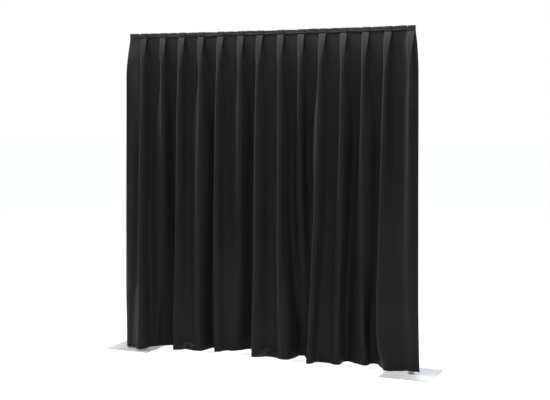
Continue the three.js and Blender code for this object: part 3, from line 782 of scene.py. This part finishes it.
def metal_material(name, dark, light, rough, streak=(60, 60, 2), scratch=.12, metallic=1.0, bump_size=.00006):
    """Drawn or plated metal: fine streaks, soft blotches and a little handling wear."""
    m, nodes, links, bsdf = new_material(name)
    bsdf.inputs["Metallic"].default_value = metallic
    coord = add(nodes, "ShaderNodeTexCoord", -1300, 0)
    scale = add(nodes, "ShaderNodeMapping", -1100, 0)
    scale.inputs["Scale"].default_value = streak
    links.new(coord.outputs["Object"], scale.inputs["Vector"])
    lines = add(nodes, "ShaderNodeTexNoise", -900, 100)
    lines.inputs["Scale"].default_value = 14.0
    lines.inputs["Detail"].default_value = 6.0
    lines.inputs["Roughness"].default_value = 0.65
    links.new(scale.outputs["Vector"], lines.inputs["Vector"])
    blot = add(nodes, "ShaderNodeTexNoise", -900, -160)
    blot.inputs["Scale"].default_value = 9.0
    blot.inputs["Detail"].default_value = 5.0
    links.new(coord.outputs["Object"], blot.inputs["Vector"])
    mix = add(nodes, "ShaderNodeMix", -680, 40, data_type="FLOAT")
    mix.inputs[0].default_value = 0.5
    links.new(lines.outputs["Fac"], mix.inputs[2])
    links.new(blot.outputs["Fac"], mix.inputs[3])
    col = ramp(nodes, [(0.3, dark), (0.7, light)], -460, 120)
    links.new(mix.outputs[0], col.inputs["Fac"])
    links.new(col.outputs["Color"], bsdf.inputs["Base Color"])
    rg = add(nodes, "ShaderNodeMapRange", -460, -120)
    rg.inputs["To Min"].default_value = rough - scratch
    rg.inputs["To Max"].default_value = rough + scratch
    links.new(mix.outputs[0], rg.inputs["Value"])
    links.new(rg.outputs["Result"], bsdf.inputs["Roughness"])
    bump = add(nodes, "ShaderNodeBump", -460, -340)
    bump.inputs["Strength"].default_value = 0.25
    bump.inputs["Distance"].default_value = bump_size
    links.new(lines.outputs["Fac"], bump.inputs["Height"])
    links.new(bump.outputs["Normal"], bsdf.inputs["Normal"])
    return m


def paint_material():
    """Fine powder coat: slight orange peel, faint dust and scuffs."""
    m, nodes, links, bsdf = new_material("powder_coat")
    coord = add(nodes, "ShaderNodeTexCoord", -1300, 0)
    peel = add(nodes, "ShaderNodeTexNoise", -900, -300)
    peel.inputs["Scale"].default_value = 700.0
    peel.inputs["Detail"].default_value = 3.0
    links.new(coord.outputs["Object"], peel.inputs["Vector"])
    cloud = add(nodes, "ShaderNodeTexNoise", -900, 100)
    cloud.inputs["Scale"].default_value = 6.0
    cloud.inputs["Detail"].default_value = 7.0
    cloud.inputs["Roughness"].default_value = 0.6
    links.new(coord.outputs["Object"], cloud.inputs["Vector"])
    col = ramp(nodes, [(0.30, (0.475, 0.492, 0.525, 1)), (0.52, (0.50, 0.518, 0.55, 1)), (0.75, (0.515, 0.53, 0.56, 1))], -600, 100)
    links.new(cloud.outputs["Fac"], col.inputs["Fac"])
    links.new(col.outputs["Color"], bsdf.inputs["Base Color"])
    rg = add(nodes, "ShaderNodeMapRange", -600, -120)
    rg.inputs["To Min"].default_value = .42
    rg.inputs["To Max"].default_value = .58
    links.new(cloud.outputs["Fac"], rg.inputs["Value"])
    links.new(rg.outputs["Result"], bsdf.inputs["Roughness"])
    bump = add(nodes, "ShaderNodeBump", -600, -340)
    bump.inputs["Strength"].default_value = 0.18
    bump.inputs["Distance"].default_value = 0.0003
    links.new(peel.outputs["Fac"], bump.inputs["Height"])
    links.new(bump.outputs["Normal"], bsdf.inputs["Normal"])
    return m


def plastic_material(name, dark, light, rough):
    """Moulded plastic with a fine spark-eroded grain."""
    m, nodes, links, bsdf = new_material(name)
    coord = add(nodes, "ShaderNodeTexCoord", -1300, 0)
    grain = add(nodes, "ShaderNodeTexVoronoi", -900, -260)
    grain.inputs["Scale"].default_value = 1100.0
    links.new(coord.outputs["Object"], grain.inputs["Vector"])
    cloud = add(nodes, "ShaderNodeTexNoise", -900, 80)
    cloud.inputs["Scale"].default_value = 24.0
    cloud.inputs["Detail"].default_value = 5.0
    links.new(coord.outputs["Object"], cloud.inputs["Vector"])
    col = ramp(nodes, [(0.35, dark), (0.65, light)], -600, 80)
    links.new(cloud.outputs["Fac"], col.inputs["Fac"])
    links.new(col.outputs["Color"], bsdf.inputs["Base Color"])
    rg = add(nodes, "ShaderNodeMapRange", -600, -120)
    rg.inputs["To Min"].default_value = rough - .06
    rg.inputs["To Max"].default_value = rough + .06
    links.new(cloud.outputs["Fac"], rg.inputs["Value"])
    links.new(rg.outputs["Result"], bsdf.inputs["Roughness"])
    bump = add(nodes, "ShaderNodeBump", -600, -340)
    bump.inputs["Strength"].default_value = 0.2
    bump.inputs["Distance"].default_value = 0.0001
    links.new(grain.outputs["Distance"], bump.inputs["Height"])
    links.new(bump.outputs["Normal"], bsdf.inputs["Normal"])
    return m


cloth = cloth_material("black_drape_cloth", CLOTH_DARK, CLOTH_LIGHT)
cloth_object = cloth_material("black_sleeve_cloth", CLOTH_DARK, CLOTH_LIGHT, use_map=False)
thread = plastic_material("polyester_thread", (0.012, 0.012, 0.012, 1), (0.022, 0.021, 0.021, 1), .6)
loop_tape = cloth_material("hook_and_loop", (0.006, 0.006, 0.007, 1), (0.016, 0.016, 0.017, 1), use_map=False)
looks = {
    "plate_paint": paint_material(),
    "alloy_tube": metal_material("anodised_tube", (0.50, 0.495, 0.47, 1), (0.63, 0.625, 0.60, 1), .38),
    "alloy_inner": metal_material("anodised_inner_tube", (0.55, 0.553, 0.556, 1), (0.66, 0.664, 0.667, 1), .32),
    "zinc_steel": metal_material("zinc_plated_steel", (0.42, 0.43, 0.45, 1), (0.62, 0.63, 0.64, 1), .36, streak=(18, 18, 18)),
    "cast_alloy": metal_material("tumbled_casting", (0.46, 0.47, 0.48, 1), (0.64, 0.65, 0.66, 1), .46, streak=(30, 30, 30), bump_size=.0002),
    "black_plastic": plastic_material("black_nylon", (0.018, 0.018, 0.019, 1), (0.032, 0.032, 0.034, 1), .50),
    "grey_plastic": plastic_material("grey_acetal", (0.26, 0.27, 0.28, 1), (0.36, 0.37, 0.38, 1), .45),
}
bar_look = metal_material("anodised_bar", (0.60, 0.59, 0.55, 1), (0.74, 0.73, 0.69, 1), .38, streak=(2, 60, 60))
bar_inner_look = metal_material("anodised_inner_bar", (0.66, 0.66, 0.65, 1), (0.78, 0.78, 0.77, 1), .30, streak=(2, 60, 60))
slot_of = {e["node"]: e["material_slot"] for e in frame["record"]["subparts"]}

for node, ob in NODES.items():
    if node.startswith("drape_"):
        continue
    look = looks[slot_of[node]]
    if node == "crossbar_outer_tube":
        look = bar_look
    if node == "crossbar_inner_tube":
        look = bar_inner_look
    ob.data.materials.clear()
    ob.data.materials.append(look)
    ob.data.polygons.foreach_set("use_smooth", np.ones(len(ob.data.polygons), bool))
    weld = ob.modifiers.new("weld", "WELD")
    weld.merge_threshold = 0.00001
    bevel = ob.modifiers.new("edges", "BEVEL")
    bevel.width = 0.0005 if "plate" in node else 0.0003
    bevel.segments = 2
    bevel.limit_method = "ANGLE"
    bevel.angle_limit = math.radians(35)
    bevel.harden_normals = True
    normal = ob.modifiers.new("normals", "WEIGHTED_NORMAL")
    normal.keep_sharp = True

for ob, look in ((drape, cloth), (sleeve, cloth_object), (tape, loop_tape), (header_seam, thread), (hem_seam, thread)):
    ob.data.materials.clear()
    ob.data.materials.append(look)

# ------------------------------------------------------------------ what each piece rides on
for ob in (drape, sleeve, tape, header_seam, hem_seam):
    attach(ob, "crossbar_outer")
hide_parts("drape_panel")
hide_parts("drape_header_sleeve")
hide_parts("drape_closure_tape")
for ob in (drape, hem_seam):
    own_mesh(ob)

# ------------------------------------------------------------------ floor and light
floor_mesh = bpy.data.meshes.new("floor")
e = 60.0
floor_mesh.from_pydata([(-e, -e, 0), (e, -e, 0), (e, e, 0), (-e, e, 0)], [], [(0, 1, 2, 3)])
floor = bpy.data.objects.new("floor", floor_mesh)
floor.location.z = -0.0006
scene.collection.objects.link(floor)
floor_look, fn, fl, fb = new_material("pale_floor")
fb.inputs["Base Color"].default_value = (0.955, 0.955, 0.96, 1)
fb.inputs["Roughness"].default_value = 0.9
fb.inputs["Specular IOR Level"].default_value = 0.1
glow = add(fn, "ShaderNodeEmission", 0, -300)                  # seen directly, the floor is close to white
glow.inputs["Strength"].default_value = 1.25
seen_floor = add(fn, "ShaderNodeLightPath", -300, 300)
part_floor = add(fn, "ShaderNodeMath", 0, 300)
part_floor.operation = "MULTIPLY"
part_floor.inputs[1].default_value = 0.55
fl.new(seen_floor.outputs["Is Camera Ray"], part_floor.inputs[0])
mix_floor = add(fn, "ShaderNodeMixShader", 300, 0)
fl.new(part_floor.outputs[0], mix_floor.inputs[0])
fl.new(fb.outputs[0], mix_floor.inputs[1])
fl.new(glow.outputs[0], mix_floor.inputs[2])
fl.new(mix_floor.outputs[0], fn["Material Output"].inputs["Surface"])
floor_mesh.materials.append(floor_look)

world = bpy.data.worlds.new("studio")
scene.world = world
world.use_nodes = True
wn, wl = world.node_tree.nodes, world.node_tree.links
fill = wn["Background"]                                        # what lights the object
fill.inputs["Color"].default_value = (1.0, 1.0, 1.0, 1)
fill.inputs["Strength"].default_value = WORLD
seen = add(wn, "ShaderNodeBackground", 0, -200)                # the plain backdrop behind it
seen.inputs["Color"].default_value = (1.0, 1.0, 1.0, 1)
seen.inputs["Strength"].default_value = 1.0
which = add(wn, "ShaderNodeLightPath", -300, 200)
both = add(wn, "ShaderNodeMixShader", 250, 0)
wl.new(which.outputs["Is Camera Ray"], both.inputs[0])
wl.new(fill.outputs[0], both.inputs[1])
wl.new(seen.outputs[0], both.inputs[2])
wl.new(both.outputs[0], wn["World Output"].inputs["Surface"])
scene.view_settings.view_transform = "Standard"


def area(name, at, look_at, size, power, color=(1, 1, 1), spread=180):
    data = bpy.data.lights.new(name, "AREA")
    data.shape = "RECTANGLE"
    data.size, data.size_y = size
    data.energy = power
    data.color = color
    data.spread = math.radians(spread)
    ob = bpy.data.objects.new(name, data)
    scene.collection.objects.link(ob)
    ob.location = at
    d = np.array(look_at, float) - np.array(at, float)
    d /= np.linalg.norm(d)
    ob.rotation_euler = (math.acos(-d[2]), 0, math.atan2(-d[0], d[1]))
    return ob


def sun(name, toward, strength, angle, color=(1, 1, 1)):
    data = bpy.data.lights.new(name, "SUN")
    data.energy = strength
    data.angle = math.radians(angle)
    data.color = color
    ob = bpy.data.objects.new(name, data)
    scene.collection.objects.link(ob)
    d = np.array(toward, float)
    d /= np.linalg.norm(d)
    ob.rotation_euler = (math.acos(-d[2]), 0, math.atan2(-d[0], d[1]))
    return ob


for spec in LIGHTS:
    (sun if spec[0].startswith("sun") else area)(*spec)
